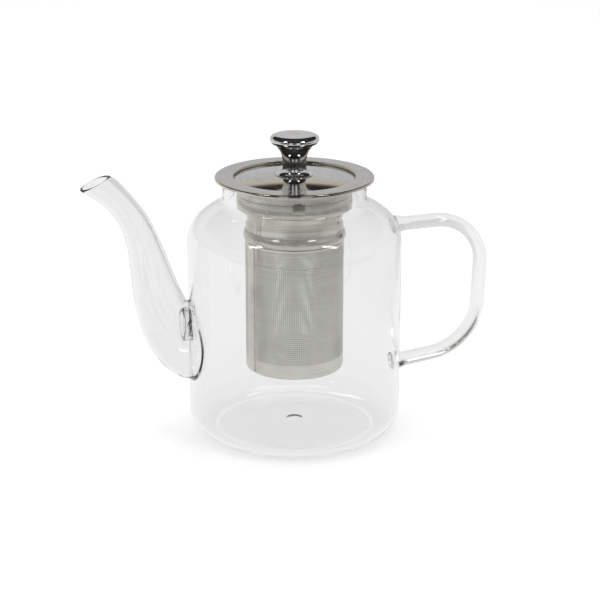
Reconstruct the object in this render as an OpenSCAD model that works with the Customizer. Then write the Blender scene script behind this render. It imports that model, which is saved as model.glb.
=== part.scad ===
// Glass teapot with a lift-out steel infuser and a lift-off steel lid.
// Origin: centre of the foot ring on the table. +Z up, spout towards -X, handle towards +X.

/* [Glass body] */
// Outside diameter of the straight wall
body_d = 110; // [106:1:114]
// Wall of the blown glass
glass_wall = 2; // [1.6:0.1:2.2]
// Height where the wall starts to turn in to the shoulder
shoulder_z = 102; // [98:1:104]
// Outside diameter of the neck
neck_d = 73.4; // [72.6:0.2:74]
// Radius of the heel between the wall and the foot ring
heel_r = 13.2; // [10:0.2:15]
// How far the middle of the base is pushed up
push_up = 2.6; // [1.5:0.1:4]

/* [Spout] */
// Height of the middle of the ring where the spout is fused to the wall
spout_z = 50.8; // [48:0.2:54]
// Diameter of the hole through the wall behind the spout
pour_hole_d = 13.6; // [12:0.2:14]
// Wall of the spout
spout_wall = 1.8; // [1.4:0.1:2]

/* [Handle] */
// Thickness of the bent bar, measured in the plane of its bend
bar_t = 7; // [6:0.2:8]
// Width of the bent bar, measured across the plane of its bend
bar_w = 11; // [9:0.5:13]

/* [Infuser] */
// Outside diameter of the flange that rests on the glass neck
flange_d = 81.2; // [78:0.2:84]
// Top of the flange above the table
flange_z = 135.7; // [134:0.1:138]
// Sheet of the pressed collar
sheet = 0.6; // [0.5:0.05:0.8]
// Outside diameter of the collar cup
collar_d = 59.4; // [59:0.2:60]
// Outside diameter of the perforated tube
mesh_d = 50.6; // [48:0.2:52]
// Sheet of the perforated tube
mesh_sheet = 0.4; // [0.3:0.05:0.5]
// Underside of the infuser above the table
infuser_z = 34.3; // [30:0.1:40]
// Height of the plain margin along the foot of the perforated tube
margin_h = 6.7; // [5:0.1:10]

/* [Lid] */
// Outside diameter of the lid
lid_d = 61.4; // [60.8:0.1:61.8]
// Sheet of the lid
lid_sheet = 0.8; // [0.6:0.1:1]
// Height of the knob above its seat on the lid
knob_h = 21; // [20:0.5:24]
// Widest diameter of the knob
knob_d = 25.2; // [23:0.2:27]

/* [Hidden] */
$fn = 96;
eps = 0.01;

body_r = body_d / 2;
neck_r = neck_d / 2;

// Foot ring and the small raised button in the middle of the base
foot_out = body_r - heel_r;
foot_in = foot_out - 2;
button_r = 5;
button_h = 0.9;

// Shoulder: a tight arc, a flatter arc, then a small hollow arc into the neck
shoulder_r = 18;
shoulder_turn = 52;
crown_r = 40;
neck_fillet = 4;
shoulder_c = [body_r - shoulder_r, shoulder_z];
crown_c = shoulder_c + (shoulder_r - crown_r) * [cos(shoulder_turn), sin(shoulder_turn)];
fillet_x = neck_r + neck_fillet;
fillet_rise = sqrt(pow(crown_r + neck_fillet, 2) - pow(fillet_x - crown_c[0], 2));
fillet_c = [fillet_x, crown_c[1] + fillet_rise];
crown_end = atan2(fillet_rise, fillet_x - crown_c[0]);

// The flange rests on the fire-polished rim
rim_z = flange_z - sheet;

// Radius of the ring on the wall where the spout starts
root_r = 20.3;
// Spout stations from the wall to the mouth: [reach, height] below, above, and half the width
spout_low = [[body_r, spout_z - root_r], [62, 33.2], [71, 41], [78.8, 55], [83, 73], [85, 95],
    [86.6, 104.6], [89.5, 114], [97.5, 125], [108.4, 133]];
spout_high = [[body_r, spout_z + root_r], [56.4, 73.2], [57.8, 75.8], [59.2, 79.3], [61.8, 85.3],
    [67.4, 100.4], [71.4, 110.6], [76.8, 121.2], [87, 134.7], [93.1, 139.7]];
spout_half = [root_r, 20.1, 18.6, 15.6, 12.3, 8.9, 8.1, 7.3, 7.2, 7.6];
spout_sides = 24;
spout_steps = 3;
pour_hole_z = spout_z + 9;
pour_lip = 1.8;
pour_lip_h = 4;

// Handle: two arcs joined by a straight grip, with a straight lead to the wall at each end.
// The bar swells by the flare where it is fused to the wall.
top_bend_c = [76, 85.2];
top_bend_r = 23.2;
low_bend_c = [68.5, 65];
low_bend_r = 30;
top_lead = 93;
low_lead = -80.5;
bend_gap = top_bend_c - low_bend_c;
grip_turn = atan2(bend_gap[1], bend_gap[0]) - acos((low_bend_r - top_bend_r) / norm(bend_gap));
bend_step = 7;
bar_sides = 20;
flare = 0.2;
flare_l = 3;
flare_at = [0, 1, 2.2, 4, 7, 12];

// Infuser collar
collar_r = collar_d / 2;
ledge_z = flange_z - 2.1;
ledge_r = 31.2;
curl_h = 1.4;
step_r = 4.8;
step_z = 122.7;
fold_z = 127.2;
fold_in = 0.25;
mesh_r = mesh_d / 2;
tube_in = mesh_r - mesh_sheet;
bead_z = 106;
bead_half = 3;
bead_out = 1.2;
bead_r = (pow(bead_half, 2) + pow(bead_out, 2)) / (2 * bead_out);
bead_c = [tube_in + bead_out - bead_r, bead_z];
bead_turn = asin(bead_half / bead_r);
bead_turn_in = acos((tube_in - sheet - bead_c[0]) / (bead_r - sheet));
mesh_top = bead_z - bead_half;
sleeve_h = 1.6;

// Three tongues lanced out of the collar, one near the front
tab_w = 6;
tab_low = 123.9;
tab_high = 129.2;
tab_reach = 3.6;
tab_rise = 3;
tab_turns = [for (i = [0:2]) -96.7 + 120 * i];

// Lap seam of the rolled tube
seam_turn = -161.2;
seam_w = 5;
base_corner = 1.4;
base_lip = 4;
tube_z = infuser_z + base_corner;

// Lid: flat land under the knob, then a shallow fall to the edge that sits on the ledge
lid_r = lid_d / 2;
lid_edge = 0.5;
land_r = 9.8;
land_z = ledge_z + lid_sheet + 1.9;
lid_fall = (land_z - ledge_z - lid_sheet) / (pow(lid_r - lid_edge, 2) - pow(land_r, 2));
ring_out = collar_r - fold_in - sheet - 0.3;
ring_in = ring_out - 0.6;
ring_z = 127.5;

// Knob and its fixing
knob_r = knob_d / 2;
knob_z = land_z;
foot_r = 9.5;
stem_r = 6.1;
rim_r = 2.2;
dish = 0.7;
screw_r = 2;
screw_head_r = 3.6;
screw_head_h = 2.4;
washer_h = 0.8;
washer_z = land_z - lid_sheet - washer_h;
screw_top = knob_z + 10;

function arc(c, r, from, to, steps = 10) =
    [for (i = [0:steps]) let (a = from + (to - from) * i / steps) c + r * [cos(a), sin(a)]];

function curve(a, b, c, d, steps = 8) =
    [for (i = [0:steps]) let (t = i / steps, s = 1 - t)
        s * s * s * a + 3 * s * s * t * b + 3 * s * t * t * c + t * t * t * d];

function reversed(list) = [for (i = [len(list) - 1:-1:0]) list[i]];

// Smooth curve through listed values, at place u counted in stations
function through(list, u) =
    let (i = min(floor(u), len(list) - 2), t = u - i,
        b = list[i], c = list[i + 1],
        a = i > 0 ? list[i - 1] : 2 * b - c,
        d = i < len(list) - 2 ? list[i + 2] : 2 * c - b)
    b + (c - a) * t / 2 + (2 * a - 5 * b + 4 * c - d) * t * t / 2
        + (3 * b - a - 3 * c + d) * t * t * t / 2;

function lid_top(r) = land_z - lid_fall * (r * r - land_r * land_r);

// One ring of the spout, drawn in by inset; the first lies on the round wall
function spout_ring(u, inset) =
    let (low = through(spout_low, u), high = through(spout_high, u),
        half = through(spout_half, u) - inset,
        mid = (low + high) / 2, arm = (low - high) / 2,
        reach = arm * (1 - inset / norm(arm)))
    [for (i = [0:spout_sides - 1]) let (a = 360 * i / spout_sides,
        y = half * sin(a), p = mid + reach * cos(a))
        [u == 0 ? -sqrt(body_r * body_r - y * y) : -p[0], y, p[1]]];

function body_r_at(z) =
    z < shoulder_z ? body_r : shoulder_c[0] + sqrt(pow(shoulder_r, 2) - pow(z - shoulder_z, 2));

// A point moved along X onto the outside of the glass
function wall_point(p) = [sqrt(pow(body_r_at(p[2]), 2) - p[1] * p[1]), p[1], p[2]];

function centre(ring) = [for (axis = [0:2]) let (values = [for (p = ring) p[axis]])
    values * [for (v = values) 1] / len(ring)];

// One oval ring of the handle around point c + r at angle at, grown by swell
function bar_ring(c, r, at, swell = 1, shift = [0, 0]) =
    [for (i = [0:bar_sides - 1]) let (a = 360 * i / bar_sides,
        p = c + shift + (r + swell * bar_t / 2 * cos(a)) * [cos(at), sin(at)])
        [p[0], swell * bar_w / 2 * sin(a), p[1]]];

// One ring of a straight lead, at distance d from the wall; the first lies on the wall
function lead_ring(c, r, at, way, d) =
    let (run = way * [-sin(at), cos(at)], start = c + r * [cos(at), sin(at)],
        l = (start[0] - body_r_at(start[1])) / abs(run[0]),
        ring = bar_ring(c, r, at, 1 + flare * exp(-pow(d / flare_l, 2)), (l - d) * run))
    [for (p = ring) d == 0 ? wall_point(p) : p];

module glass_body() {
    outside = concat(
        [[0, push_up + button_h]],
        curve([1.5, push_up + button_h], [3, push_up + button_h], [3.5, push_up], [button_r, push_up], 5),
        curve([button_r + 1, push_up], [22, push_up], [foot_in - 4, push_up * 0.7], [foot_in, 0]),
        arc([foot_out, heel_r], heel_r, -90, 0),
        arc(shoulder_c, shoulder_r, 0, shoulder_turn),
        arc(crown_c, crown_r, shoulder_turn, crown_end, 5),
        arc(fillet_c, neck_fillet, crown_end + 180, 180, 5),
        arc([neck_r - glass_wall / 2, rim_z - glass_wall / 2], glass_wall / 2, 0, 180, 8));
    inside = concat(
        arc(fillet_c, neck_fillet + glass_wall, 180, crown_end + 180, 5),
        arc(crown_c, crown_r - glass_wall, crown_end, shoulder_turn, 5),
        arc(shoulder_c, shoulder_r - glass_wall, shoulder_turn, 0),
        arc([foot_out, heel_r], heel_r - glass_wall, 0, -90),
        curve([foot_out - 1, glass_wall], [foot_in - 6, push_up * 0.7 + glass_wall],
            [22, push_up + glass_wall], [button_r + 1, push_up + glass_wall]),
        curve([button_r, push_up + glass_wall], [3.5, push_up + glass_wall],
            [3, push_up + button_h + glass_wall], [1.5, push_up + button_h + glass_wall], 5),
        [[0, push_up + button_h + glass_wall]]);
    color([0.85, 0.9, 0.9, 0.35])
    difference() {
        union() {
            rotate_extrude() polygon(concat(outside, inside));
            translate([0, 0, pour_hole_z]) rotate([0, -90, 0])
                translate([0, 0, body_r - glass_wall * 0.7])
                    cylinder(r = pour_hole_d / 2 + pour_lip, h = glass_wall * 0.7 + pour_lip_h);
        }
        translate([0, 0, pour_hole_z]) rotate([0, -90, 0])
            translate([0, 0, body_r - 10]) cylinder(d = pour_hole_d, h = 20);
    }
}

module spout() {
    last = (len(spout_low) - 1) * spout_steps;
    n = spout_sides;
    size = (last + 1) * n;
    outer = [for (k = [0:last]) each spout_ring(k / spout_steps, 0)];
    inner = [for (k = [0:last]) each spout_ring(k / spout_steps, spout_wall)];
    skin = [for (k = [0:last - 1], i = [0:n - 1]) let (j = (i + 1) % n)
        each [[k * n + i, k * n + j, (k + 1) * n + j], [k * n + i, (k + 1) * n + j, (k + 1) * n + i]]];
    bore = [for (f = skin) [f[0] + size, f[2] + size, f[1] + size]];
    ends = [for (i = [0:n - 1]) let (j = (i + 1) % n, m = last * n)
        each [[j, i, i + size], [j, i + size, j + size],
            [m + i, m + j, m + j + size], [m + i, m + j + size, m + i + size]]];
    color([0.85, 0.9, 0.9, 0.35])
    polyhedron(points = concat(outer, inner), faces = concat(skin, bore, ends), convexity = 6);
}

module handle() {
    n = bar_sides;
    rings = concat(
        [for (d = flare_at) lead_ring(top_bend_c, top_bend_r, top_lead, 1, d)],
        [for (at = [top_lead:-bend_step:grip_turn]) bar_ring(top_bend_c, top_bend_r, at)],
        [bar_ring(top_bend_c, top_bend_r, grip_turn)],
        [for (at = [grip_turn:-bend_step:low_lead]) bar_ring(low_bend_c, low_bend_r, at)],
        [for (d = reversed(flare_at)) lead_ring(low_bend_c, low_bend_r, low_lead, -1, d)]);
    last = len(rings) - 1;
    ends = [wall_point(centre(rings[0])), wall_point(centre(rings[last]))];
    skin = [for (k = [0:last - 1], i = [0:n - 1]) let (j = (i + 1) % n)
        each [[k * n + i, k * n + j, (k + 1) * n + j], [k * n + i, (k + 1) * n + j, (k + 1) * n + i]]];
    caps = [for (i = [0:n - 1]) let (j = (i + 1) % n, m = last * n)
        each [[(last + 1) * n, j, i], [(last + 1) * n + 1, m + i, m + j]]];
    color([0.85, 0.9, 0.9, 0.35])
    polyhedron(points = concat([for (ring = rings) each ring], ends), faces = concat(skin, caps),
        convexity = 4);
}

module tongue() {
    translate([0, tab_w / 2 - 0.1, 0]) rotate([90, 0, 0]) linear_extrude(height = tab_w - 0.2)
        polygon([[collar_r - sheet, tab_low - eps], [collar_r, tab_low - eps],
            [collar_r + tab_reach, tab_low + tab_rise - sheet],
            [collar_r + tab_reach, tab_low + tab_rise],
            [collar_r - sheet, tab_low + sheet]]);
}

module infuser_collar() {
    flange_r = flange_d / 2;
    below = concat(
        [[flange_r, flange_z - curl_h], [flange_r - sheet, flange_z - curl_h],
            [flange_r - sheet, rim_z], [ledge_r + sheet, rim_z], [ledge_r + sheet, ledge_z - sheet],
            [collar_r - fold_in, ledge_z - sheet], [collar_r - fold_in, fold_z + 1],
            [collar_r, fold_z]],
        arc([collar_r - step_r, step_z], step_r, 0, -90, 6),
        arc(bead_c, bead_r, bead_turn, -bead_turn, 8),
        [[tube_in, mesh_top - sleeve_h]]);
    above = concat(
        [[tube_in - sheet, mesh_top - sleeve_h]],
        arc(bead_c, bead_r - sheet, -bead_turn_in, bead_turn_in, 8),
        [[tube_in - sheet, step_z - step_r + sheet]],
        arc([collar_r - step_r, step_z], step_r - sheet, -90, 0, 6),
        [[collar_r - sheet, fold_z], [collar_r - fold_in - sheet, fold_z + 1],
            [collar_r - fold_in - sheet, ledge_z], [ledge_r, ledge_z], [ledge_r, flange_z],
            [flange_r - 0.4, flange_z], [flange_r, flange_z - 0.4]]);
    color([0.72, 0.7, 0.67])
    union() {
        difference() {
            rotate_extrude() polygon(concat(below, above));
            for (turn = tab_turns) rotate([0, 0, turn])
                translate([collar_r - 2, -tab_w / 2, tab_low]) cube([4, tab_w, tab_high - tab_low]);
        }
        for (turn = tab_turns) rotate([0, 0, turn]) tongue();
    }
}

module mesh_tube() {
    h = mesh_top - tube_z;
    color([0.62, 0.61, 0.58])
    translate([0, 0, tube_z]) union() {
        difference() {
            cylinder(r = mesh_r, h = h);
            translate([0, 0, -1]) cylinder(r = tube_in, h = h + 2);
        }
        intersection() {
            difference() {
                cylinder(r = tube_in + mesh_sheet / 2, h = h - sleeve_h);
                translate([0, 0, -1]) cylinder(r = tube_in - mesh_sheet, h = h + 2);
            }
            rotate([0, 0, seam_turn]) translate([mesh_r - 3, -seam_w / 2, margin_h])
                cube([4, seam_w, h]);
        }
    }
}

module infuser_base() {
    wall = mesh_sheet + 0.1;
    corner = [mesh_r - base_corner, infuser_z + base_corner];
    color([0.7, 0.69, 0.66])
    rotate_extrude() polygon(concat(
        [[0, infuser_z]],
        arc(corner, base_corner, -90, 0, 6),
        [[tube_in, corner[1]], [tube_in, corner[1] + base_lip], [tube_in - wall, corner[1] + base_lip],
            [tube_in - wall, infuser_z + wall + 0.6], [tube_in - wall - 0.6, infuser_z + wall],
            [0, infuser_z + wall]]));
}

module lid_cover() {
    steps = 8;
    fall = [for (i = [0:steps]) land_r + (lid_r - lid_edge - land_r) * i / steps];
    color([0.72, 0.71, 0.68])
    difference() {
        rotate_extrude() polygon(concat(
            [[0, land_z]], [for (r = fall) [r, lid_top(r)]],
            [[lid_r, ledge_z + lid_sheet / 2], [lid_r, ledge_z]],
            [for (r = reversed(fall)) [r, lid_top(r) - lid_sheet]], [[0, land_z - lid_sheet]]));
        translate([0, 0, land_z - 2]) cylinder(r = screw_r + 0.2, h = 4);
    }
}

module lid_ring() {
    color([0.7, 0.69, 0.66])
    rotate_extrude() polygon([[ring_in, ring_z], [ring_out, ring_z],
        [ring_out, lid_top(ring_out) - lid_sheet], [ring_in, lid_top(ring_in) - lid_sheet]]);
}

module knob() {
    z = knob_z;
    top = z + knob_h;
    rim_c = [knob_r - rim_r, top - rim_r - 0.5];
    color([0.78, 0.79, 0.8])
    difference() {
        rotate_extrude() polygon(concat(
            [[0, z], [foot_r, z]],
            curve([foot_r, z + 0.5], [foot_r - 3.3, z + 0.9], [stem_r, z + 2.3], [stem_r, z + 4.7]),
            curve([stem_r + 0.05, z + 5.5], [stem_r + 0.1, z + 9], [stem_r + 0.6, z + 11.2],
                [stem_r + 1.9, z + 13.2]),
            curve([stem_r + 2.3, z + 13.7], [stem_r + 3.2, z + 15],
                [rim_c[0] - 0.6, rim_c[1] - rim_r - 0.2], rim_c + rim_r * [cos(-75), sin(-75)]),
            arc(rim_c, rim_r, -65, 70, 9),
            curve([knob_r - 2.2, top - 0.2], [knob_r - 2.8, top], [7, top - 0.1], [0, top - dish], 8)));
        translate([0, 0, z - 1]) cylinder(r = screw_r, h = screw_top - z + 1);
    }
}

module knob_washer() {
    color([0.75, 0.75, 0.76])
    difference() {
        translate([0, 0, washer_z]) cylinder(r = 5, h = washer_h);
        translate([0, 0, washer_z - 1]) cylinder(r = screw_r + 0.2, h = washer_h + 2);
    }
}

module knob_screw() {
    color([0.7, 0.7, 0.72])
    difference() {
        union() {
            translate([0, 0, washer_z - screw_head_h]) cylinder(r = screw_head_r, h = screw_head_h);
            translate([0, 0, washer_z - eps]) cylinder(r = screw_r, h = screw_top - washer_z + eps);
        }
        for (turn = [0, 90]) rotate([0, 0, turn])
            translate([-2, -0.4, washer_z - screw_head_h - 1]) cube([4, 0.8, 2.2]);
    }
}

glass_body();
spout();
handle();
infuser_collar();
mesh_tube();
infuser_base();
lid_cover();
lid_ring();
knob();
knob_washer();
knob_screw();
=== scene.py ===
"""Glass teapot with a lift-out steel infuser and a lift-off steel lid.

The origin is the centre of the foot ring on the table, Z is up, the spout points
towards -X and the handle towards +X. Sizes in the classes are in millimetres.
"""
import logging
import math
from dataclasses import dataclass
from enum import Enum
from typing import Any, Callable, Iterable, Mapping, Sequence, Union

import bmesh
import bpy
from mathutils import Matrix, Vector


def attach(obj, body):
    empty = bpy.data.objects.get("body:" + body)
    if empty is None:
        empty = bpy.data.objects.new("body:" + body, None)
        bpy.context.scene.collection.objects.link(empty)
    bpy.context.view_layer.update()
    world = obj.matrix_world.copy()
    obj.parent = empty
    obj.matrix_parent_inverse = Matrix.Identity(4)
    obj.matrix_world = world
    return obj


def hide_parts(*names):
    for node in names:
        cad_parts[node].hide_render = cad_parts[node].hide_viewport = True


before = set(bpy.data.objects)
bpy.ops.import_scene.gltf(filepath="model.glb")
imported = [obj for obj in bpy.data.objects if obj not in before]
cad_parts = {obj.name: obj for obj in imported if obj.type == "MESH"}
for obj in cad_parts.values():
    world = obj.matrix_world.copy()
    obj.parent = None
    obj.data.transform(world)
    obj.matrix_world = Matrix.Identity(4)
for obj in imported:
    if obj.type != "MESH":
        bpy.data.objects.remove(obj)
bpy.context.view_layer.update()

MM = 0.001
WELD = 1e-6
log = logging.getLogger("teapot")

Point = tuple[float, float]
Colour = tuple[float, float, float]
Value = Union["Wire", bpy.types.NodeSocket, float, Sequence[float]]


# ---------------------------------------------------------------- outlines


def arc(centre: Point, radius: float, start: float, end: float, steps: int = 16) -> list[Point]:
    """Points on an arc.

    Args:
        centre: Middle of the arc.
        radius: Its radius.
        start: First angle in degrees.
        end: Last angle in degrees.
        steps: How many chords stand for it.

    Returns:
        The points from the first angle to the last.
    """
    turns = [math.radians(start + (end - start) * i / steps) for i in range(steps + 1)]
    return [(centre[0] + radius * math.cos(a), centre[1] + radius * math.sin(a)) for a in turns]


def bend(a: Point, b: Point, c: Point, d: Point, steps: int = 14) -> list[Point]:
    """Points on a cubic curve from a to d that is pulled towards b and c.

    Args:
        a: First point.
        b: First pull.
        c: Second pull.
        d: Last point.
        steps: How many chords stand for it.

    Returns:
        The points from a to d.
    """
    made = []
    for i in range(steps + 1):
        t = i / steps
        s = 1 - t
        weights = (s * s * s, 3 * s * s * t, 3 * s * t * t, t * t * t)
        made.append(tuple(sum(w * p[k] for w, p in zip(weights, (a, b, c, d))) for k in (0, 1)))
    return made


def eased(corners: Sequence[Sequence[float]], radius: float, steps: int = 4) -> list[Point]:
    """Round the corners of a closed outline.

    Args:
        corners: Points as (x, y), or (x, y, r) for a corner with a radius of its own.
        radius: Radius of the other corners.
        steps: Chords in each rounded corner.

    Returns:
        The closed outline with an arc in place of each corner that has room for one.
    """
    made: list[Point] = []
    count = len(corners)
    for i, corner in enumerate(corners):
        here = Vector(corner[:2])
        before = Vector(corners[i - 1][:2]) - here
        after = Vector(corners[(i + 1) % count][:2]) - here
        wanted = corner[2] if len(corner) > 2 else radius
        between = before.angle(after) if before.length and after.length else math.pi
        if wanted <= 0 or between > math.radians(172):
            made.append(tuple(here))
            continue
        room = 0.48 * min(before.length, after.length)
        run = min(wanted / math.tan(between / 2), room)
        start, end = here + before.normalized() * run, here + after.normalized() * run
        for k in range(steps + 1):
            t = k / steps
            made.append(tuple(start * (1 - t) ** 2 + here * 2 * t * (1 - t) + end * t * t))
    return made


def through(values: Sequence[Any], place: float) -> Any:
    """Smooth curve through listed values.

    Args:
        values: Numbers or vectors to pass through.
        place: Position on the curve, counted in values from the first.

    Returns:
        The value at that place.
    """
    i = min(int(place), len(values) - 2)
    t = place - i
    b, c = values[i], values[i + 1]
    a = values[i - 1] if i > 0 else 2 * b - c
    d = values[i + 2] if i < len(values) - 2 else 2 * c - b
    return (b + (c - a) * (t / 2) + (2 * a - 5 * b + 4 * c - d) * (t * t / 2)
            + (3 * b - a - 3 * c + d) * (t * t * t / 2))


def smooth(t: float) -> float:
    """Ease from 0 to 1 as t goes from 0 to 1."""
    t = min(max(t, 0.0), 1.0)
    return t * t * (3 - 2 * t)


# ---------------------------------------------------------------- node trees


def operator(name: str, swapped: bool = False) -> Callable[["Wire", "Value"], "Wire"]:
    """An arithmetic sign of Wire that adds one Math node.

    Args:
        name: Blender's name of the operation.
        swapped: Whether the wire stands on the right of the sign.

    Returns:
        The method for that sign.
    """
    def add(self: "Wire", other: "Value") -> "Wire":
        """Join this wire and the other value."""
        return self.tree.maths(name, *((other, self) if swapped else (self, other)))
    return add


class Wire:
    """One value in a node tree; arithmetic on it adds Math nodes."""

    def __init__(self, tree: "Tree", socket: bpy.types.NodeSocket) -> None:
        """Keep the tree and the socket that carries the value."""
        self.tree = tree
        self.socket = socket

    __add__ = operator("ADD")
    __sub__ = operator("SUBTRACT")
    __rsub__ = operator("SUBTRACT", swapped=True)
    __mul__ = operator("MULTIPLY")
    __truediv__ = operator("DIVIDE")
    __pow__ = operator("POWER")
    __gt__ = operator("GREATER_THAN")
    __lt__ = operator("LESS_THAN")

    def maths(self, operation: str, *others: "Value") -> "Wire":
        """Add one Math node that starts with this value."""
        return self.tree.maths(operation, self, *others)

    def step(self, low: float, high: float) -> "Wire":
        """Rise smoothly from 0 at low to 1 at high.

        Args:
            low: Where the rise starts.
            high: Where it ends; it may lie below low for a fall.

        Returns:
            The eased share.
        """
        return self.tree.out("ShaderNodeMapRange", {"interpolation_type": "SMOOTHSTEP"},
                             {"Value": self, "From Min": low, "From Max": high})


class Tree:
    """A node tree, with one method that makes any node."""

    def __init__(self, group: bpy.types.NodeTree) -> None:
        """Keep the tree that the nodes are added to."""
        self.group = group

    def node(self, kind: str, settings: Mapping[str, Any] | None = None,
             inputs: Mapping[Any, Value] | None = None) -> bpy.types.Node:
        """Make one node.

        Args:
            kind: Blender's type name of the node.
            settings: Its own options, set first; "stops" holds a ramp's colours.
            inputs: Values or links of its sockets, by name or by place.

        Returns:
            The node.
        """
        made = self.group.nodes.new(kind)
        for name, value in (settings or {}).items():
            if name == "stops":
                self._stops(made.color_ramp, value)
            else:
                setattr(made, name, value)
        for key, value in (inputs or {}).items():
            socket = made.inputs[key]
            if isinstance(value, Wire):
                self.group.links.new(value.socket, socket)
            elif isinstance(value, bpy.types.NodeSocket):
                self.group.links.new(value, socket)
            else:
                socket.default_value = value
        return made

    def out(self, kind: str, settings: Mapping[str, Any] | None = None,
            inputs: Mapping[Any, Value] | None = None, output: Any = 0) -> Wire:
        """Make one node and take one of its outputs.

        Args:
            kind: Blender's type name of the node.
            settings: Its own options.
            inputs: Values or links of its sockets.
            output: Name or place of the output.

        Returns:
            That output.
        """
        return Wire(self, self.node(kind, settings, inputs).outputs[output])

    def maths(self, operation: str, *values: Value) -> Wire:
        """Add one Math node with its inputs in order."""
        return self.out("ShaderNodeMath", {"operation": operation}, dict(enumerate(values)))

    def parts(self, vector: Value) -> tuple[Wire, Wire, Wire]:
        """Split a vector into its three numbers."""
        split = self.node("ShaderNodeSeparateXYZ", None, {0: vector})
        return tuple(Wire(self, socket) for socket in split.outputs)

    def vector(self, x: Value, y: Value, z: Value) -> Wire:
        """Join three numbers into a vector."""
        return self.out("ShaderNodeCombineXYZ", None, {0: x, 1: y, 2: z})

    def mixed(self, share: Value, low: Value, high: Value) -> Wire:
        """Mix two colours.

        Args:
            share: 0 for the first colour, 1 for the second.
            low: First colour.
            high: Second colour.

        Returns:
            The mixed colour.
        """
        low = (*low, 1.0) if isinstance(low, tuple) else low
        high = (*high, 1.0) if isinstance(high, tuple) else high
        return self.out("ShaderNodeMix", {"data_type": "RGBA"}, {0: share, 6: low, 7: high}, 2)

    @staticmethod
    def _stops(ramp: bpy.types.ColorRamp, stops: Sequence[tuple[float, Colour]]) -> None:
        """Give a ramp its stops, each a place from 0 to 1 and a colour."""
        while len(ramp.elements) < len(stops):
            ramp.elements.new(1.0)
        for element, (place, colour) in zip(ramp.elements, stops):
            element.position = place
            element.color = (*colour, 1.0)


class Form(Tree):
    """A Geometry Nodes tree with named inputs that is run once into a plain mesh."""

    KINDS = {int: "NodeSocketInt", float: "NodeSocketFloat"}

    def __init__(self, name: str, values: Mapping[str, float | int]) -> None:
        """Make the tree and its inputs.

        Args:
            name: Name of the tree.
            values: Name and value of each size that the tree reads.
        """
        super().__init__(bpy.data.node_groups.new(name, "GeometryNodeTree"))
        self.values = dict(values)
        face = self.group.interface
        face.new_socket("Line", in_out="INPUT", socket_type="NodeSocketGeometry")
        for key, value in values.items():
            face.new_socket(key, in_out="INPUT", socket_type=self.KINDS[type(value)])
        face.new_socket("Finish", in_out="INPUT", socket_type="NodeSocketMaterial")
        face.new_socket("Piece", in_out="OUTPUT", socket_type="NodeSocketGeometry")
        self.source = self.node("NodeGroupInput")

    def size(self, name: str) -> Wire:
        """Read one of the tree's named inputs."""
        return Wire(self, self.source.outputs[name])

    def welded(self, shape: Wire) -> Wire:
        """Make one point of points that lie in the same place."""
        return self.out("GeometryNodeMergeByDistance", None, {"Geometry": shape, "Distance": WELD})

    def close(self, shape: Wire) -> None:
        """End the tree: weld doubles, realise copies and set the finish."""
        welded = self.welded(shape)
        real = self.out("GeometryNodeRealizeInstances", None, {0: welded})
        done = self.out("GeometryNodeSetMaterial", None,
                        {"Geometry": real, "Material": self.size("Finish")})
        self.node("NodeGroupOutput", None, {"Piece": done})

    def run(self, name: str, line: bpy.types.Mesh, finish: bpy.types.Material) -> bpy.types.Object:
        """Run the tree on a line and keep the result as a plain mesh.

        Args:
            name: Name of the piece.
            line: Mesh that the tree starts from.
            finish: Material of the piece.

        Returns:
            An object with the finished mesh and no modifier.
        """
        made = bpy.data.objects.new(name, line)
        bpy.context.scene.collection.objects.link(made)
        modifier = made.modifiers.new(name, "NODES")
        modifier.node_group = self.group
        for item in self.group.interface.items_tree:
            if item.item_type == "SOCKET" and item.in_out == "INPUT":
                if item.name in self.values:
                    modifier[item.identifier] = self.values[item.name]
                elif item.name == "Finish":
                    modifier[item.identifier] = finish
        seen = made.evaluated_get(bpy.context.evaluated_depsgraph_get())
        mesh = bpy.data.meshes.new_from_object(seen)
        made.modifiers.clear()
        made.data = mesh
        mesh.name = name
        one_finish(mesh, finish)
        return made

    def rolled(self, radius: Wire, turn: Wire, height: Wire) -> Wire:
        """A place given by its distance from the Z axis, its turn and its height."""
        return self.vector(radius * turn.maths("COSINE"), radius * turn.maths("SINE"), height)


class Turned(Form):
    """An outline turned round the Z axis, as on a lathe or a spinning chuck."""

    def __init__(self, around: int, points: int) -> None:
        """Build the tree.

        Args:
            around: Faces in one turn.
            points: Points in the outline.
        """
        super().__init__("turned form", {"Around": around, "Points": points})
        rows = self.size("Points")
        grid = self.out("GeometryNodeMeshGrid", None,
                        {"Size X": 1.0, "Size Y": 1.0, "Vertices X": self.size("Around") + 1,
                         "Vertices Y": rows})
        across, along, _ = self.parts(self.out("GeometryNodeInputPosition"))
        turn = (across + 0.5) * (2 * math.pi)
        row = ((along + 0.5) * (rows - 1)).maths("ROUND")
        place = self.out("GeometryNodeInputPosition")
        point = self.out("GeometryNodeSampleIndex",
                         {"data_type": "FLOAT_VECTOR", "domain": "POINT"},
                         {"Geometry": self.size("Line"), "Value": place, "Index": row})
        radius, _, height = self.parts(point)
        shape = self.out("GeometryNodeSetPosition", None,
                         {"Geometry": grid, "Position": self.rolled(radius, turn, height)})
        self.close(shape)


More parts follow.
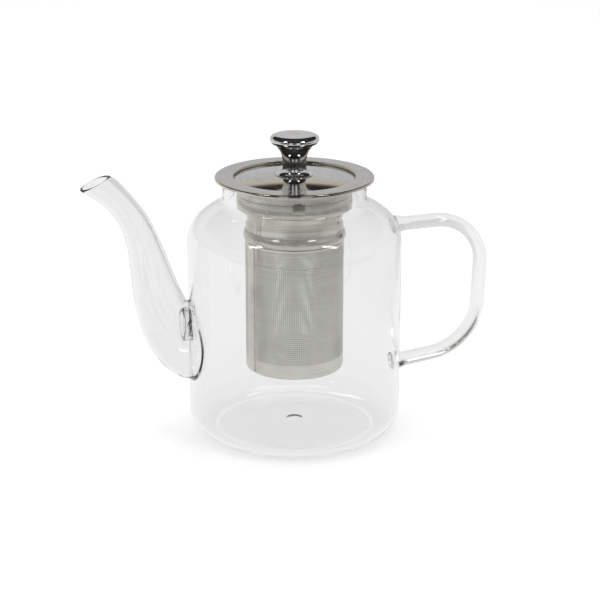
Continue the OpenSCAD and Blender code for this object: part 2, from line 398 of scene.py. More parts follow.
class Bar(Form):
    """An oval bar that follows a line in the XZ plane and swells where the line says."""

    def __init__(self, sides: int, thick: float, wide: float) -> None:
        """Build the tree.

        Args:
            sides: Faces round the bar.
            thick: Thickness in the plane of the bends, in millimetres.
            wide: Width across that plane, in millimetres.
        """
        super().__init__("bent bar", {"Sides": sides, "Thick": thick * MM, "Wide": wide * MM})
        line = self.out("GeometryNodeMeshToCurve", None, {"Mesh": self.size("Line")})
        line = self.out("GeometryNodeSetCurveNormal", {"mode": "FREE"},
                        {"Curve": line, "Normal": (0.0, 1.0, 0.0)})
        swell = self.out("GeometryNodeInputNamedAttribute", {"data_type": "FLOAT"},
                         {"Name": "swell"})
        ring = self.out("GeometryNodeCurvePrimitiveCircle", None,
                        {"Resolution": self.size("Sides"), "Radius": 0.5})
        oval = self.out("GeometryNodeTransform", None,
                        {"Geometry": ring,
                         "Scale": self.vector(self.size("Wide"), self.size("Thick"), 1.0)})
        bar = self.out("GeometryNodeCurveToMesh", None,
                       {"Curve": line, "Profile Curve": oval, "Scale": swell, "Fill Caps": True})
        self.close(bar)


class Perforated(Form):
    """A sheet with a field of square holes, rolled into a tube with a lapped seam."""

    def __init__(self, columns: int, rows: int, margin_columns: int, foot_rows: int, head_rows: int,
                 pitch_x: float, pitch_z: float, hole: float, sheet: float, radius: float,
                 seam_turn: float, lap: float) -> None:
        """Build the tree.

        Args:
            columns: Cells along the sheet, plain margins at both ends included.
            rows: Cells up the sheet, plain margins at foot and head included.
            margin_columns: Plain columns at each end.
            foot_rows: Plain rows along the foot.
            head_rows: Plain rows along the head.
            pitch_x: Width of a cell in millimetres.
            pitch_z: Height of a cell in millimetres.
            hole: Side of a hole as a share of its cell.
            sheet: Thickness of the sheet in millimetres.
            radius: Outside radius of the tube in millimetres.
            seam_turn: Direction of the outer edge of the seam in degrees.
            lap: Length of the overlap in millimetres.
        """
        super().__init__("perforated tube", {
            "Columns": columns, "Rows": rows, "Margin Columns": margin_columns,
            "Foot Rows": foot_rows, "Head Rows": head_rows, "Pitch X": pitch_x * MM,
            "Pitch Z": pitch_z * MM, "Hole": hole, "Sheet": sheet * MM, "Radius": radius * MM,
            "Seam Turn": math.radians(seam_turn), "Lap": lap * MM})
        wide = self.size("Pitch X") * self.size("Columns")
        high = self.size("Pitch Z") * self.size("Rows")
        flat = self.out("GeometryNodeMeshGrid", None,
                        {"Size X": wide, "Size Y": high, "Vertices X": self.size("Columns") + 1,
                         "Vertices Y": self.size("Rows") + 1})
        place = self.out("GeometryNodeInputPosition")
        x, y, _ = self.parts(place)
        column = (x + wide * 0.5) / self.size("Pitch X")
        row = (y + high * 0.5) / self.size("Pitch Z")
        field = ((column > self.size("Margin Columns"))
                 * (column < self.size("Columns") - self.size("Margin Columns"))
                 * (row > self.size("Foot Rows"))
                 * (row < self.size("Rows") - self.size("Head Rows")))
        cells = self.node("GeometryNodeExtrudeMesh", {"mode": "FACES"},
                          {"Mesh": flat, "Selection": field, "Offset Scale": 0.0,
                           "Individual": True})
        shrunk = self.out("GeometryNodeScaleElements", {"domain": "FACE"},
                          {"Geometry": cells.outputs["Mesh"], "Selection": cells.outputs["Top"],
                           "Scale": self.size("Hole")})
        pierced = self.out("GeometryNodeDeleteGeometry", {"domain": "FACE"},
                           {"Geometry": shrunk, "Selection": cells.outputs["Top"]})
        pierced = self.welded(pierced)
        front = self.out("GeometryNodeExtrudeMesh", {"mode": "FACES"},
                         {"Mesh": pierced, "Offset Scale": self.size("Sheet"),
                          "Individual": False})
        back = self.out("GeometryNodeFlipFaces", None, {"Mesh": pierced})
        joined = self.node("GeometryNodeJoinGeometry")
        self.group.links.new(front.socket, joined.inputs[0])
        self.group.links.new(back.socket, joined.inputs[0])
        x, y, depth = self.parts(self.out("GeometryNodeInputPosition"))
        inner = self.size("Radius") - self.size("Sheet")
        run = x + wide * 0.5
        under = (run - (wide - self.size("Lap") * 1.6)) / (self.size("Lap") * 0.6)
        under = under.maths("MAXIMUM", 0.0).maths("MINIMUM", 1.0)
        around = inner + depth - under * self.size("Sheet") * 1.02
        turn = self.size("Seam Turn") - run / (inner + self.size("Sheet") * 0.5)
        shape = self.out("GeometryNodeSetPosition", None,
                         {"Geometry": Wire(self, joined.outputs[0]),
                          "Position": self.rolled(around, turn, y + high * 0.5)})
        self.close(shape)


# ---------------------------------------------------------------- mesh work


def line_mesh(points: Iterable[Sequence[float]], swell: Sequence[float] = ()) -> bpy.types.Mesh:
    """Make a mesh of one line in the XZ plane.

    Args:
        points: Points as (x, z) in millimetres.
        swell: Growth of a bar at each point, where a bar follows the line.

    Returns:
        The mesh, in metres.
    """
    places = [(x * MM, 0.0, z * MM) for x, z in points]
    mesh = bpy.data.meshes.new("line")
    mesh.from_pydata(places, [(i, i + 1) for i in range(len(places) - 1)], [])
    if swell:
        mesh.attributes.new("swell", "FLOAT", "POINT").data.foreach_set("value", list(swell))
    return mesh


def one_finish(mesh: bpy.types.Mesh, finish: bpy.types.Material) -> None:
    """Leave a mesh with one material on all its faces."""
    mesh.materials.clear()
    mesh.materials.append(finish)
    mesh.polygons.foreach_set("material_index", [0] * len(mesh.polygons))


def linked(name: str, mesh: bpy.types.Mesh) -> bpy.types.Object:
    """Put a mesh in the scene as an object."""
    made = bpy.data.objects.new(name, mesh)
    bpy.context.scene.collection.objects.link(made)
    return made


def outward(piece: bpy.types.Object, sharp: float = 32.0) -> bpy.types.Object:
    """Turn a closed mesh's faces outwards and shade it smooth up to an angle.

    Args:
        piece: The object to treat.
        sharp: Edges that turn by more than this many degrees stay crisp.

    Returns:
        The same object.
    """
    work = bmesh.new()
    work.from_mesh(piece.data)
    bmesh.ops.dissolve_degenerate(work, dist=1e-7, edges=work.edges)
    if work.calc_volume(signed=True) < 0:
        bmesh.ops.reverse_faces(work, faces=work.faces)
    open_edges = sum(1 for edge in work.edges if not edge.is_manifold)
    work.to_mesh(piece.data)
    work.free()
    piece.data.shade_smooth()
    piece.data.set_sharp_from_angle(angle=math.radians(sharp))
    if open_edges:
        log.warning("%s has %d open edges", piece.name, open_edges)
    return piece


def turned(name: str, outline: Sequence[Point], finish: bpy.types.Material, closed: bool = True,
           around: int = 144) -> bpy.types.Object:
    """Turn an outline round the Z axis.

    Args:
        name: Name of the piece.
        outline: Points as (radius, height) in millimetres.
        finish: Material of the piece.
        closed: Whether the last point joins the first; an open one ends on the axis.
        around: Faces in one turn.

    Returns:
        The piece.
    """
    points = list(outline) + ([outline[0]] if closed else [])
    made = Turned(around, len(points)).run(name, line_mesh(points), finish)
    return outward(made)


def skin(rings: Sequence[Sequence[Vector]], closed: bool = False) -> bmesh.types.BMesh:
    """Join rings of points into a skin.

    Args:
        rings: Rings with the same number of points, in order, in metres.
        closed: Whether the last ring joins the first.

    Returns:
        A bmesh with quads between neighbouring rings.
    """
    work = bmesh.new()
    rows = [[work.verts.new(p) for p in ring] for ring in rings]
    count = len(rows[0])
    for k in range(len(rows) if closed else len(rows) - 1):
        here, there = rows[k], rows[(k + 1) % len(rows)]
        for i in range(count):
            j = (i + 1) % count
            work.faces.new((here[i], here[j], there[j], there[i]))
    return work


def from_bmesh(name: str, work: bmesh.types.BMesh, finish: bpy.types.Material) -> bpy.types.Object:
    """Turn a bmesh into an object with one finish."""
    mesh = bpy.data.meshes.new(name)
    work.to_mesh(mesh)
    work.free()
    mesh.materials.append(finish)
    return linked(name, mesh)


def rod(name: str, start: Vector, end: Vector, radius: float, finish: bpy.types.Material,
        sides: int = 64) -> bpy.types.Object:
    """A plain round rod, used to cut with.

    Args:
        name: Name of the rod.
        start: Middle of one end in metres.
        end: Middle of the other end in metres.
        radius: Radius in metres.
        finish: Material of the cut faces.
        sides: Faces round it.

    Returns:
        The rod.
    """
    way = (end - start).normalized()
    side = way.orthogonal().normalized()
    other = way.cross(side)
    rings = [[p + radius * (math.cos(a) * side + math.sin(a) * other)
              for a in (2 * math.pi * i / sides for i in range(sides))] for p in (start, end)]
    work = skin(rings)
    for lap in range(2):
        work.verts.ensure_lookup_table()
        work.faces.new([work.verts[lap * sides + i] for i in range(sides)])
    bmesh.ops.recalc_face_normals(work, faces=work.faces)
    return from_bmesh(name, work, finish)


def block(name: str, low: Sequence[float], high: Sequence[float], turn: float,
          finish: bpy.types.Material) -> bpy.types.Object:
    """A plain block turned round the Z axis, used to cut with.

    Args:
        name: Name of the block.
        low: Lowest corner in millimetres before the turn.
        high: Highest corner in millimetres before the turn.
        turn: Turn in degrees.
        finish: Material of the cut faces.

    Returns:
        The block.
    """
    work = bmesh.new()
    bmesh.ops.create_cube(work, size=1.0)
    cos, sin = math.cos(math.radians(turn)), math.sin(math.radians(turn))
    for vert in work.verts:
        x, y, z = (low[k] + (high[k] - low[k]) * (vert.co[k] + 0.5) for k in range(3))
        vert.co = Vector((x * cos - y * sin, x * sin + y * cos, z)) * MM
    return from_bmesh(name, work, finish)


class Cut(Enum):
    """What a second solid does to a piece."""

    AWAY = "DIFFERENCE"
    JOIN = "UNION"


def combined(piece: bpy.types.Object, other: bpy.types.Object, how: Cut) -> bpy.types.Object:
    """Cut a solid out of a piece, or fuse it on, and remove the solid.

    Args:
        piece: The piece that stays.
        other: The solid that is used up.
        how: Cut away or join.

    Returns:
        The piece with its new mesh.
    """
    finish = piece.data.materials[0]
    modifier = piece.modifiers.new("cut", "BOOLEAN")
    modifier.operation = how.value
    modifier.solver = "EXACT"
    modifier.object = other
    seen = piece.evaluated_get(bpy.context.evaluated_depsgraph_get())
    mesh = bpy.data.meshes.new_from_object(seen)
    piece.modifiers.clear()
    piece.data = mesh
    bpy.data.objects.remove(other)
    one_finish(mesh, finish)
    return piece


def merged(piece: bpy.types.Object, others: Sequence[bpy.types.Object]) -> bpy.types.Object:
    """Add the meshes of other objects to a piece as shells of their own.

    Args:
        piece: The piece that stays.
        others: Objects that are used up.

    Returns:
        The piece with all the shells.
    """
    work = bmesh.new()
    work.from_mesh(piece.data)
    for other in others:
        work.from_mesh(other.data)
        bpy.data.objects.remove(other)
    work.to_mesh(piece.data)
    work.free()
    return piece


# ---------------------------------------------------------------- finishes


class Finish(Tree):
    """The node tree of one material, which ends in one Principled shader."""

    def __init__(self, name: str) -> None:
        """Make an empty material and read the place on the piece."""
        self.made = bpy.data.materials.new(name)
        self.made.use_nodes = True
        self.made.node_tree.nodes.clear()
        super().__init__(self.made.node_tree)
        self.place = self.out("ShaderNodeTexCoord", None, None, "Object")

    def noise(self, place: Value, scale: float, detail: float, rough: float) -> Wire:
        """Add a soft noise.

        Args:
            place: Where it is read.
            scale: How fine it is.
            detail: How many finer layers it has.
            rough: How strong those are.

        Returns:
            Its value, from 0 to 1.
        """
        return self.out("ShaderNodeTexNoise", None,
                        {"Vector": place, "Scale": scale, "Detail": detail, "Roughness": rough})

    def grey(self, level: Wire) -> Wire:
        """A neutral colour of a level from 0 to 1."""
        return self.mixed(level, (0.0, 0.0, 0.0), (1.0, 1.0, 1.0))

    def close(self, inputs: Mapping[str, Value]) -> bpy.types.Material:
        """End the tree in its shader and hand out the material."""
        shader = self.node("ShaderNodeBsdfPrincipled", None, inputs)
        self.node("ShaderNodeOutputMaterial", None, {"Surface": shader.outputs[0]})
        return self.made


@dataclass(frozen=True)
class ClearGlass:
    """Clear blown glass, faintly green, with the slow unevenness of mouth-blown ware."""

    name: str
    tint: Colour = (0.955, 0.96, 0.955)
    ior: float = 1.47
    ripple_size: float = 38.0
    ripple_depth: float = 0.00022
    haze: float = 0.012

    def material(self) -> bpy.types.Material:
        """Make the material.

        Returns:
            A glass whose roughness and normal vary slowly over the surface.
        """
        tree = Finish(self.name)
        ripple = tree.noise(tree.place, 1 / (self.ripple_size * MM), 1.5, 0.4)
        bump = tree.out("ShaderNodeBump", None,
                        {"Strength": 0.5, "Distance": self.ripple_depth, "Height": ripple})
        marks = tree.noise(tree.place, 55.0, 3.0, 0.6)
        return tree.close({"Base Color": (*self.tint, 1.0), "IOR": self.ior,
                           "Transmission Weight": 1.0, "Normal": bump,
                           "Roughness": marks.step(0.5, 0.8) * self.haze})


class Grain(Enum):
    """Way that the fine lines of a steel surface run."""

    ROUND = "round"
    NONE = "none"


@dataclass(frozen=True)
class Steel:
    """Stainless steel, with spun lines, a roughness that changes with height, and faint marks."""

    name: str
    colour: Colour = (0.66, 0.645, 0.62)
    shade: Colour = (0.52, 0.5, 0.47)
    bands: tuple[tuple[float, float], ...] = ((0.0, 0.2), (200.0, 0.2))
    spread: float = 0.06
    grain: Grain = Grain.ROUND
    grain_size: float = 0.5
    grain_depth: float = 0.00002
    marks: float = 0.05

    def material(self) -> bpy.types.Material:
        """Make the material.

        Returns:
            A metal whose colour, roughness and normal follow the grain and the marks.
        """
        tree = Finish(self.name)
        x, y, z = tree.parts(tree.place)
        radius = (x * x + y * y) ** 0.5
        fine = 1 / (self.grain_size * MM)
        spun = tree.vector(radius * fine, z * fine, (x + y) * 25)
        lines = tree.noise(spun, 1.0, 3.0, 0.65)
        blots = tree.noise(tree.place, 120.0, 3.0, 0.6)
        low = self.bands[0][0]
        span = self.bands[-1][0] - low
        stops = [((height - low) / span, (rough,) * 3) for height, rough in self.bands]
        base = tree.out("ShaderNodeValToRGB", {"stops": stops}, {0: (z / MM - low) / span})
        rough = base + (lines - 0.5) * self.spread + blots.step(0.5, 0.75) * self.marks
        tone = lines * 0.65 + blots * 0.35
        colour = tree.mixed(tone.step(0.62, 0.36), self.colour, self.shade)
        inputs = {"Base Color": colour, "Metallic": 1.0, "Roughness": rough}
        if self.grain is Grain.ROUND:
            inputs["Normal"] = tree.out("ShaderNodeBump", None,
                                        {"Strength": 0.6, "Distance": self.grain_depth,
                                         "Height": lines * (base - 0.05) * 5})
        return tree.close(inputs)


# ---------------------------------------------------------------- the pot


def hand_over(piece: bpy.types.Object, body: str, slot: str, *nodes: str) -> None:
    """Give a finished piece to the frame.

    Args:
        piece: The piece.
        body: Body that it moves with.
        slot: Material slot of the record that it takes its finish from; not used.
        nodes: CAD nodes that it stands for.
    """
    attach(piece, body)
    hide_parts(*nodes)
    piece.data.calc_loop_triangles()
    log.info("%s on %s, %d triangles", piece.name, body, len(piece.data.loop_triangles))


@dataclass
class GlassPot:
    """The blown body with its fused spout and handle."""

    body_r: float = 55.0
    wall: float = 2.0
    heel_r: float = 13.2
    foot_w: float = 2.0
    push_up: float = 2.6
    button_r: float = 5.0
    button_h: float = 0.9
    shoulder_z: float = 102.0
    shoulder_r: float = 18.0
    shoulder_turn: float = 52.0
    crown_r: float = 40.0
    neck_r: float = 36.7
    neck_fillet: float = 4.0
    rim_z: float = 135.1
    spout_z: float = 50.8
    spout_wall: float = 1.8
    hole_r: float = 6.8
    hole_rise: float = 9.0
    lip: float = 1.8
    lip_h: float = 4.0
    hug: float = 0.9
    seat: float = 0.5
    root_swell: float = 0.5
    root_swell_l: float = 1.6
    station: float = 7.0
    low: tuple[Point, ...] = ((55, 30.5), (62, 33.2), (71, 41), (78.8, 55), (83, 73), (85, 95),
                              (86.6, 104.6), (89.5, 114), (97.5, 125), (108.4, 133))
    high: tuple[Point, ...] = ((55, 71.1), (56.4, 73.2), (57.8, 75.8), (59.2, 79.3), (61.8, 85.3),
                               (67.4, 100.4), (71.4, 110.6), (76.8, 121.2), (87, 134.7),
                               (93.1, 139.7))
    half: tuple[float, ...] = (20.3, 20.1, 18.6, 15.6, 12.3, 8.9, 8.1, 7.3, 7.2, 7.6)
    bar_t: float = 7.0
    bar_w: float = 11.0
    top_bend: tuple[float, float, float] = (76.0, 85.2, 23.2)
    low_bend: tuple[float, float, float] = (68.5, 65.0, 30.0)
    top_lead: float = 93.0
    low_lead: float = -80.5
    flare: float = 0.24
    flare_l: float = 2.6

    def build(self, glass: bpy.types.Material) -> None:
        """Make the three glass pieces and hand them over.

        Args:
            glass: Material of all three.
        """
        hand_over(self.blown_body(glass), "pot", "clear_glass", "glass_body")
        hand_over(self.gooseneck(glass), "pot", "clear_glass", "spout")
        hand_over(self.bent_handle(glass), "pot", "clear_glass", "handle")

    def body_outline(self) -> list[Point]:
        """Outline of the body from the middle of the base round the rim and back inside."""
        foot_out = self.body_r - self.heel_r
        foot_in = foot_out - self.foot_w
        shoulder = (self.body_r - self.shoulder_r, self.shoulder_z)
        turn = math.radians(self.shoulder_turn)
        drop = self.shoulder_r - self.crown_r
        crown = (shoulder[0] + drop * math.cos(turn), shoulder[1] + drop * math.sin(turn))
        fillet_x = self.neck_r + self.neck_fillet
        rise = math.sqrt((self.crown_r + self.neck_fillet) ** 2 - (fillet_x - crown[0]) ** 2)
        fillet = (fillet_x, crown[1] + rise)
        end = math.degrees(math.atan2(rise, fillet_x - crown[0]))
        up, top, half = self.push_up, self.push_up + self.button_h, self.wall / 2
        heel = (foot_out, self.heel_r)
        outside = (
            bend((0, top), (1.6, top), (3.2, up), (self.button_r, up), 10)
            + bend((self.button_r, up), (22, up), (foot_in - 12, 0), (foot_in, 0), 22)[1:]
            + arc(heel, self.heel_r, -90, 0, 24)
            + [(self.body_r, z) for z in (30, 45, 60, 75, 90)]
            + arc(shoulder, self.shoulder_r, 0, self.shoulder_turn, 24)
            + arc(crown, self.crown_r, self.shoulder_turn, end, 14)[1:]
            + arc(fillet, self.neck_fillet, end + 180, 180, 10)[1:]
            + [(self.neck_r, self.rim_z - 4)]
            + arc((self.neck_r - half, self.rim_z - half), half, 0, 180, 14))
        wall = self.wall
        inside = (
            arc(fillet, self.neck_fillet + wall, 180, end + 180, 10)
            + arc(crown, self.crown_r - wall, end, self.shoulder_turn, 14)[1:]
            + arc(shoulder, self.shoulder_r - wall, self.shoulder_turn, 0, 24)[1:]
            + [(self.body_r - wall, z) for z in (90, 75, 60, 45, 30)]
            + arc(heel, self.heel_r - wall, 0, -90, 24)
            + bend((foot_out - 1, wall), (foot_in - 12, wall), (22, up + wall),
                   (self.button_r, up + wall), 22)[1:]
            + bend((self.button_r, up + wall), (3.2, up + wall), (1.6, top + wall),
                   (0, top + wall), 10)[1:])
        return outside + inside

    def blown_body(self, glass: bpy.types.Material) -> bpy.types.Object:
        """The body, with the pour hole and its thick lip.

        Args:
            glass: Its material.

        Returns:
            The piece.
        """
        made = turned("blown_body", self.body_outline(), glass, closed=False, around=192)
        z = (self.spout_z + self.hole_rise) * MM
        face = -(self.body_r - self.wall * 0.6) * MM
        tip = -(self.body_r + self.lip_h) * MM
        outer = (self.hole_r + self.lip) * MM
        rim = self.lip * MM / 2
        rings = []
        for along, radius in (
                [(face, outer)] + [(tip + rim - rim * math.sin(a), outer - rim + rim * math.cos(a))
                                   for a in (math.pi * i / 12 for i in range(13))]
                + [(face, self.hole_r * MM)]):
            rings.append([Vector((along, radius * math.cos(t), z + radius * math.sin(t)))
                          for t in (2 * math.pi * i / 64 for i in range(64))])
        work = skin(rings, closed=True)
        bmesh.ops.recalc_face_normals(work, faces=work.faces)
        lip = from_bmesh("lip", work, glass)
        made = combined(made, lip, Cut.JOIN)
        near, far = (self.body_r - 10) * MM, (self.body_r + 2.5) * MM
        hole = rod("hole", Vector((-near, 0, z)), Vector((-far, 0, z)), self.hole_r * MM, glass)
        return outward(combined(made, hole, Cut.AWAY))

    def spout_ring(self, place: float, inset: float, sides: int) -> list[Vector]:
        """One ring of the spout.

        Args:
            place: Place along the spout, counted in stations.
            inset: How far the ring is drawn in from the outside, in millimetres.
            sides: Points in the ring.

        Returns:
            The points in metres. The first rings bend towards the round wall.
        """
        low = through([Vector(p) for p in self.low], place)
        high = through([Vector(p) for p in self.high], place)
        half = through(self.half, place) - inset
        mid, arm = (low + high) / 2, (low - high) / 2
        arm = arm * (1 - inset / arm.length)
        hug = 1 - smooth(place / self.hug)
        made = []
        for i in range(sides):
            a = 2 * math.pi * i / sides
            y = half * math.sin(a)
            reach, height = mid + arm * math.cos(a)
            reach += hug * (math.sqrt(self.body_r ** 2 - y * y) - self.body_r - self.seat)
            made.append(Vector((-reach, y, height)) * MM)
        return made

    def gooseneck(self, glass: bpy.types.Material) -> bpy.types.Object:
        """The hollow spout with a fused root and a fire-polished mouth.

        Args:
            glass: Its material.

        Returns:
            The piece.
        """
        sides, steps = 72, 12
        last = len(self.low) - 1
        places = [k / steps for k in range(last * steps + 1)]
        swell = [self.root_swell * math.exp(-((u * self.station / self.root_swell_l) ** 2))
                 for u in places]
        outer = [self.spout_ring(u, -more, sides) for u, more in zip(places, swell)]
        inner = [self.spout_ring(u, self.spout_wall, sides) for u in reversed(places)]
        middle = self.spout_ring(last, self.spout_wall / 2, sides)
        ahead = (Vector((-self.low[-1][0], 0, self.low[-1][1]))
                 - Vector((-self.low[-2][0], 0, self.low[-2][1]))).normalized()
        lip = []
        for step in range(1, 8):
            a = math.pi * step / 8
            lip.append([m + (o - m) * math.cos(a) + ahead * (o - m).length * math.sin(a) * 0.9
                        for o, m in zip(outer[-1], middle)])
        work = skin(outer + lip + inner, closed=True)
        return outward(from_bmesh("gooseneck_spout", work, glass), 50)

    def bent_handle(self, glass: bpy.types.Material) -> bpy.types.Object:
        """The solid bar handle, swollen where it is fused to the wall.

        Args:
            glass: Its material.

        Returns:
            The piece.
        """
        (tx, tz, tr), (lx, lz, lr) = self.top_bend, self.low_bend
        gap = Vector((tx - lx, tz - lz))
        grip = math.degrees(math.atan2(gap.y, gap.x) - math.acos((lr - tr) / gap.length))
        bends = arc((tx, tz), tr, self.top_lead, grip, 32) + arc((lx, lz), lr, grip, self.low_lead,
                                                                 32)
        path = self.lead(bends[0], self.top_lead + 90)[::-1] + bends + self.lead(
            bends[-1], self.low_lead - 90)
        swell = []
        for point in path:
            root = point[0] - self.wall_at(point[1])
            swell.append(1 + self.flare * math.exp(-((max(root, 0) / self.flare_l) ** 2)))
        made = Bar(48, self.bar_t, self.bar_w).run("bent_handle", line_mesh(path, swell), glass)
        return outward(made, 50)

    def wall_at(self, height: float) -> float:
        """Outside radius of the body at a height, in millimetres."""
        if height < self.shoulder_z:
            return self.body_r
        return (self.body_r - self.shoulder_r
                + math.sqrt(self.shoulder_r ** 2 - (height - self.shoulder_z) ** 2))

    def lead(self, start: Point, heading: float) -> list[Point]:
        """Straight run from the end of a bend into the wall.

        Args:
            start: End of the bend in millimetres.
            heading: Direction of the run in degrees.

        Returns:
            Points from the bend to 0.9 mm inside the wall, closer together near it.
        """
        run = Vector((math.cos(math.radians(heading)), math.sin(math.radians(heading))))
        length = (start[0] - self.wall_at(start[1]) + 0.9) / abs(run.x)
        shares = [1 - (1 - i / 16) ** 2 for i in range(1, 17)]
        return [(start[0] + run.x * length * s, start[1] + run.y * length * s) for s in shares]


# ---------------------------------------------------------------- the infuser


@dataclass
class Infuser:
    """The pressed collar, the rolled perforated tube and its base."""

    flange_r: float = 40.6
    flange_z: float = 135.7
    sheet: float = 0.6
    curl: float = 1.4
    collar_r: float = 29.7
    ledge_r: float = 31.2
    ledge_z: float = 133.6
    fold_z: float = 127.2
    fold_in: float = 0.25
    step_z: float = 122.7
    step_r: float = 4.8
    tube_r: float = 25.3
    tube_sheet: float = 0.4
    tube_z: float = 35.7
    mesh_top: float = 103.0
    bead_z: float = 106.0
    bead_half: float = 3.0
    bead_out: float = 1.2
    sleeve: float = 1.6
    tab_w: float = 6.0
    tab_low: float = 123.9
    tab_high: float = 129.2
    tab_reach: float = 3.6
    tab_rise: float = 3.0
    tab_turn: float = -96.7
    tabs: int = 3
    columns: int = 153
    margin_columns: int = 6
    rows: int = 63
    foot_rows: int = 6
    head_rows: int = 1
    hole: float = 0.5
    seam_turn: float = -155.5
    lap: float = 5.0
    base_z: float = 34.3
    corner: float = 1.4
    base_lip: float = 4.0
    base_dish: float = 0.25
    dish_side: float = 5.0

    def build(self, satin: bpy.types.Material, woven: bpy.types.Material,
              plain: bpy.types.Material) -> None:
        """Make the three steel pieces and hand them over.

        Args:
            satin: Material of the collar.
            woven: Material of the perforated tube.
            plain: Material of the base.
        """
        hand_over(self.collar(satin), "infuser", "satin_steel", "infuser_collar")
        hand_over(self.tube(woven), "infuser", "perforated_steel", "mesh_tube")
        hand_over(self.base(plain), "infuser", "satin_steel", "infuser_base")

    def collar_outline(self) -> list[Point]:
        """Closed outline of the pressed collar, outside first."""
        s, neck = self.sheet, self.tube_r - self.tube_sheet
        bead_r = (self.bead_half ** 2 + self.bead_out ** 2) / (2 * self.bead_out)
        bead = (neck + self.bead_out - bead_r, self.bead_z)
        turn = math.degrees(math.asin(self.bead_half / bead_r))
        turn_in = math.degrees(math.acos((neck - s - bead[0]) / (bead_r - s)))
        step = (self.collar_r - self.step_r, self.step_z)
        cup, low = self.collar_r, self.mesh_top - self.sleeve
        upper = cup - self.fold_in
        corners = (
            [(self.flange_r, self.flange_z - self.curl, 0.2),
             (self.flange_r - s, self.flange_z - self.curl, 0.2),
             (self.flange_r - s, self.flange_z - s, 0.5),
             (self.ledge_r + s, self.flange_z - s, 0.9),
             (self.ledge_r + s, self.ledge_z - s, 0.5),
             (upper, self.ledge_z - s, 0.9),
             (upper, self.fold_z + 0.5, 0.4), (cup, self.fold_z, 0.4)]
            + [(*p, 0) for p in arc(step, self.step_r, 0, -88, 14)]
            + [(neck, self.step_z - self.step_r, 0.25)]
            + [(neck, self.bead_z + self.bead_half + 1, 0)]
            + [(*p, 0.3) for p in arc(bead, bead_r, turn, turn, 1)[:1]]
            + [(*p, 0) for p in arc(bead, bead_r, turn * 0.9, -turn * 0.9, 14)]
            + [(*p, 0.3) for p in arc(bead, bead_r, -turn, -turn, 1)[:1]]
            + [(neck, low, 0.15), (neck - s, low, 0.15)]
            + [(*p, 0) for p in arc(bead, bead_r - s, -turn_in, turn_in, 14)]
            + [(neck - s, self.step_z - self.step_r + s, 0.8)]
            + [(*p, 0) for p in arc(step, self.step_r - s, -86, 0, 14)]
            + [(cup - s, self.fold_z, 0.4), (upper - s, self.fold_z + 0.5, 0.4),
               (upper - s, self.ledge_z, 0.4), (self.ledge_r, self.ledge_z, 0.25),
               (self.ledge_r, self.flange_z, 0.15), (self.flange_r, self.flange_z, 1.0)])
        return eased(corners, 0.0, 5)

    def collar(self, satin: bpy.types.Material) -> bpy.types.Object:
        """The collar with its lanced tongues.

        Args:
            satin: Its material.

        Returns:
            The piece.
        """
        made = turned("infuser_collar_pressed", self.collar_outline(), satin, around=192)
        tongues = []
        for i in range(self.tabs):
            turn = self.tab_turn + 360 * i / self.tabs
            slot = block("slot", (self.collar_r - 2, -self.tab_w / 2, self.tab_low),
                         (self.collar_r + 2, self.tab_w / 2, self.tab_high), turn, satin)
            made = combined(made, slot, Cut.AWAY)
            tongues.append(self.tongue(turn, satin))
        return outward(merged(made, tongues))

    def tongue(self, turn: float, satin: bpy.types.Material) -> bpy.types.Object:
        """One tongue, bent out and up from the lower edge of its slot.

        Args:
            turn: Direction of the tongue in degrees.
            satin: Its material.

        Returns:
            The tongue as a loose object.
        """
        s = self.sheet
        mid = self.collar_r - s / 2
        tip = (self.collar_r + self.tab_reach - 0.2, self.tab_low + self.tab_rise - s / 2)
        line = bend((mid, self.tab_low - 0.4), (mid, self.tab_low + 0.9),
                    (mid + 0.8, self.tab_low + 0.7), tip, 12)
        rings = []
        for i, (x, z) in enumerate(line):
            ahead = Vector(line[min(i + 1, len(line) - 1)]) - Vector(line[max(i - 1, 0)])
            side = Vector((-ahead.y, ahead.x)).normalized()
            narrow = 1.0 if i < len(line) - 2 else (0.93 if i == len(line) - 2 else 0.82)
            half, t, e = (self.tab_w / 2 - 0.12) * narrow, s / 2, 0.12
            ring = []
            for y, d in ((-half, e - t), (-half + e, -t), (half - e, -t), (half, e - t),
                         (half, t - e), (half - e, t), (-half + e, t), (-half, t - e)):
                p = Vector((x, z)) + side * d
                cos, sin = math.cos(math.radians(turn)), math.sin(math.radians(turn))
                ring.append(Vector((p.x * cos - y * sin, p.x * sin + y * cos, p.y)) * MM)
            rings.append(ring)
        work = skin(rings)
        work.verts.ensure_lookup_table()
        count = len(work.verts)
        work.faces.new([work.verts[i] for i in range(8)])
        work.faces.new([work.verts[count - 8 + i] for i in range(8)])
        bmesh.ops.recalc_face_normals(work, faces=work.faces)
        return from_bmesh("tongue", work, satin)

    def tube(self, woven: bpy.types.Material) -> bpy.types.Object:
        """The perforated sheet, rolled and lapped.

        Args:
            woven: Its material.

        Returns:
            The piece.
        """
        middle = 2 * math.pi * (self.tube_r - self.tube_sheet / 2)
        high = self.mesh_top - self.tube_z
        form = Perforated(self.columns, self.rows, self.margin_columns, self.foot_rows,
                          self.head_rows, (middle + self.lap) / self.columns, high / self.rows,
                          self.hole, self.tube_sheet, self.tube_r, self.seam_turn, self.lap)
        made = form.run("perforated_tube", line_mesh([(0, 0), (1, 0)]), woven)
        for vert in made.data.vertices:
            vert.co.z += self.tube_z * MM
        return outward(made, 30)

